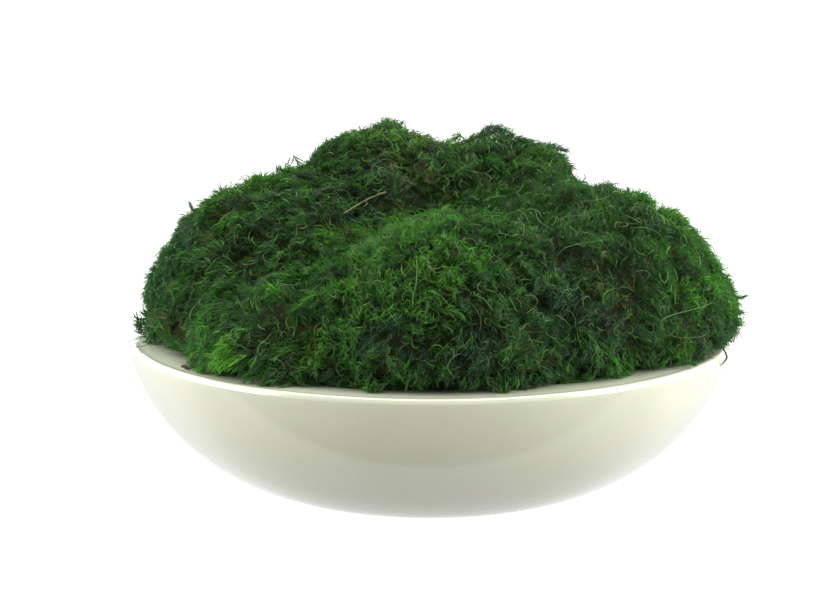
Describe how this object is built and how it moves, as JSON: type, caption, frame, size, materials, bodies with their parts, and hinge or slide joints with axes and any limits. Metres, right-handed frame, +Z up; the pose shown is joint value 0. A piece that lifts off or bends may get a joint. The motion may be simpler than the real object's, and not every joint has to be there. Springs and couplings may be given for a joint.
{
  "type": "moss clumps in a bowl",
  "caption": "Cushions of dark green preserved moss pressed together into a heap that fills a low round glazed bowl and hangs over its flat rim.",
  "frame": {"origin": "centre of the flat underside of the bowl's foot, on which it stands", "axes": "+Z up along the bowl's axis, -Y towards the side the picture was taken from, +X to the right in the picture"},
  "size_m": [0.3508, 0.344, 0.2084],
  "materials": {
    "ivory_glaze": "glossy ivory glaze",
    "packing": "dry fibrous moss",
    "moss_clump_back_left": "soft matte fronds",
    "moss_clump_back_right": "soft matte fronds",
    "moss_clump_left": "soft matte fronds",
    "moss_clump_right": "soft matte fronds",
    "moss_clump_front": "soft matte fronds",
    "moss_clump_front_left": "soft matte fronds",
    "moss_clump_rear_left": "soft matte fronds",
    "moss_clump_rear_right": "soft matte fronds"
  },
  "bodies": {
    "root": {"bowl": "ivory_glaze", "packing": "packing", "moss_clump_back_left": "moss_clump_back_left", "moss_clump_back_right": "moss_clump_back_right", "moss_clump_left": "moss_clump_left", "moss_clump_right": "moss_clump_right", "moss_clump_front": "moss_clump_front", "moss_clump_front_left": "moss_clump_front_left", "moss_clump_rear_left": "moss_clump_rear_left", "moss_clump_rear_right": "moss_clump_rear_right"}
  },
  "joints": []
}
